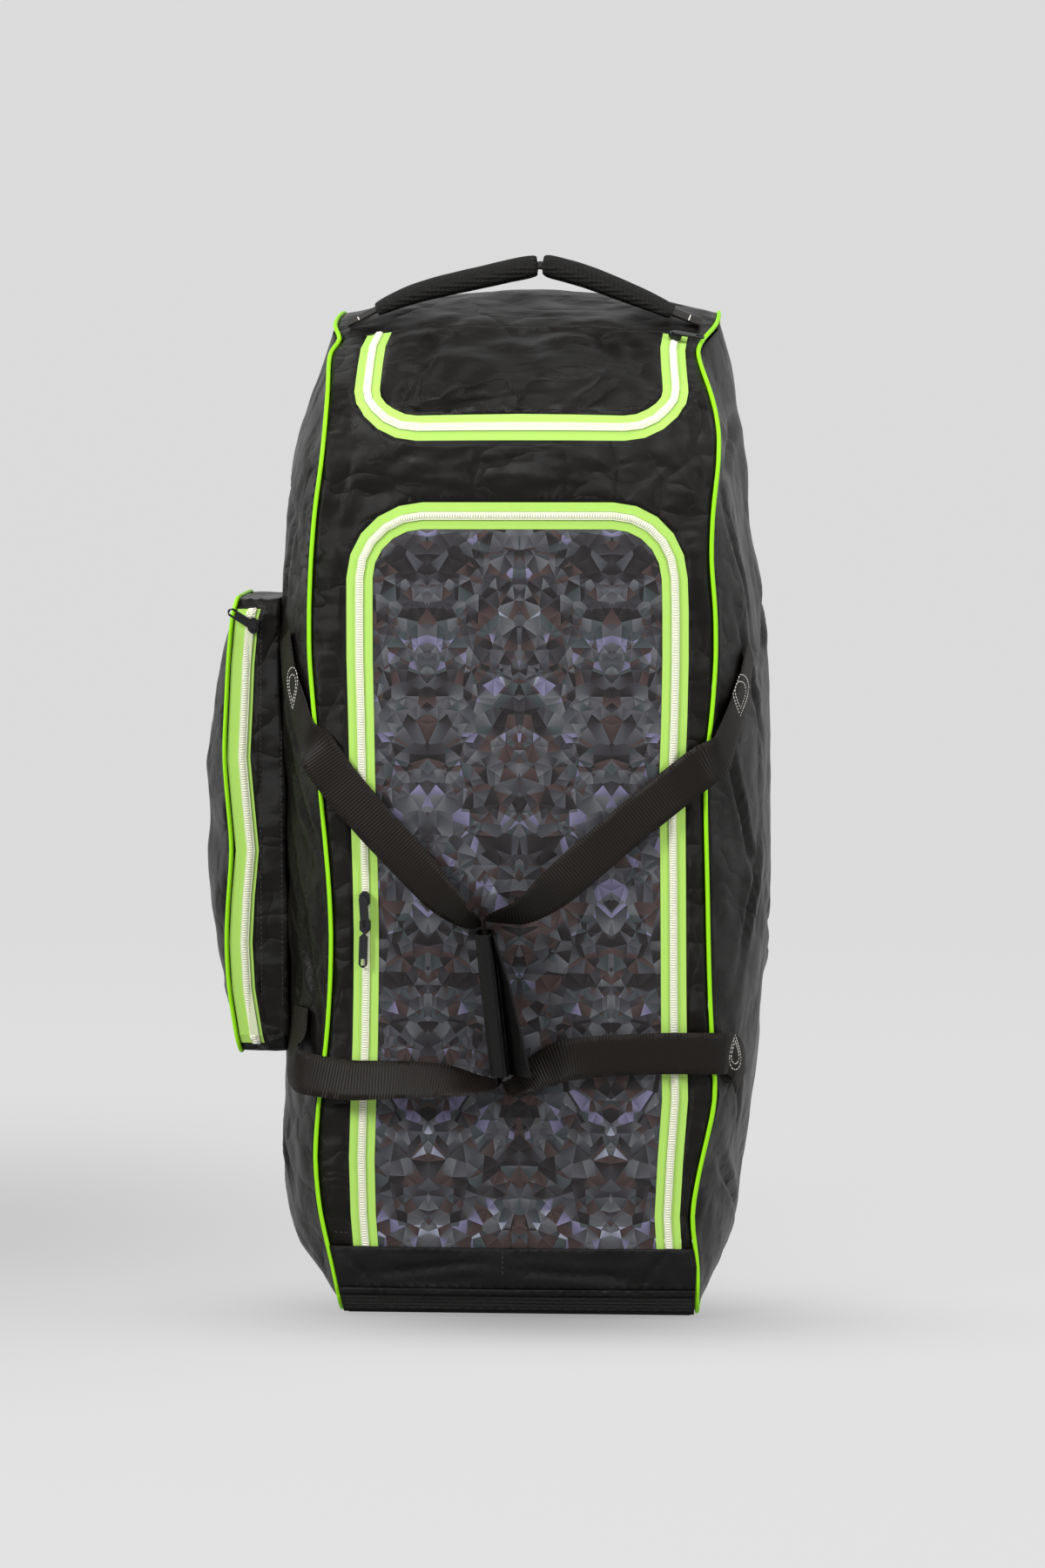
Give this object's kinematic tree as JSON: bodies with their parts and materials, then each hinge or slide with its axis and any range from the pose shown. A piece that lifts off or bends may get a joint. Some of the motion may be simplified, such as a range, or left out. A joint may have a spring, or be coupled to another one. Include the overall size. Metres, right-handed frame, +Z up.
{
  "type": "cricket kit bag",
  "caption": "Tall soft cricket kit bag standing on its end: zipped front lid, zipped top and side pockets, mesh pocket, carry straps joined by a wrap grip, padded grab handle.",
  "frame": {"origin": "centre of the flat base, on the floor", "axes": "+Z up along the bag's height, front towards -Y, side pocket at -X"},
  "size_m": [0.5372, 0.3987, 0.9799],
  "materials": {
    "cloth": "matte woven polyester",
    "print": "satin printed polyester",
    "webbing": "ribbed webbing",
    "lime": "satin piping",
    "tape": "matte zip tape",
    "coil": "semi-matte nylon coil",
    "metal": "semi-gloss black",
    "mesh": "matte open mesh"
  },
  "bodies": {
    "root": {"front_panel": "cloth", "lid_panel": "print", "lid_zip_body_tape": "tape", "lid_zip_coil": "coil", "lid_zip_flap_tape": "tape", "top_pocket_panel": "cloth", "top_zip_body_tape": "tape", "top_zip_coil": "coil", "top_zip_flap_tape": "tape", "back_panel": "cloth", "base_panel": "cloth", "side_panel_left": "cloth", "side_panel_right": "cloth", "lower_band": "cloth", "pocket_binding": "cloth", "mesh_pocket": "mesh", "piping_left": "lime", "piping_right": "lime", "side_pocket_gusset": "cloth", "side_zip_tape": "tape", "side_zip_coil": "coil", "side_zip_lip": "tape", "side_pocket_piping": "lime", "side_pocket_panel": "cloth", "carry_strap_left": "webbing", "carry_strap_right": "webbing", "grip_wrap": "cloth", "grip_flap": "cloth", "handle_webbing": "webbing", "handle_pad_left": "cloth", "handle_pad_right": "cloth", "lid_slider_upper": "metal", "lid_pull_upper": "metal", "lid_slider_lower": "metal", "lid_pull_lower": "metal", "top_slider": "metal", "top_pull": "metal", "side_slider": "metal", "side_pull": "metal"}
  },
  "joints": []
}
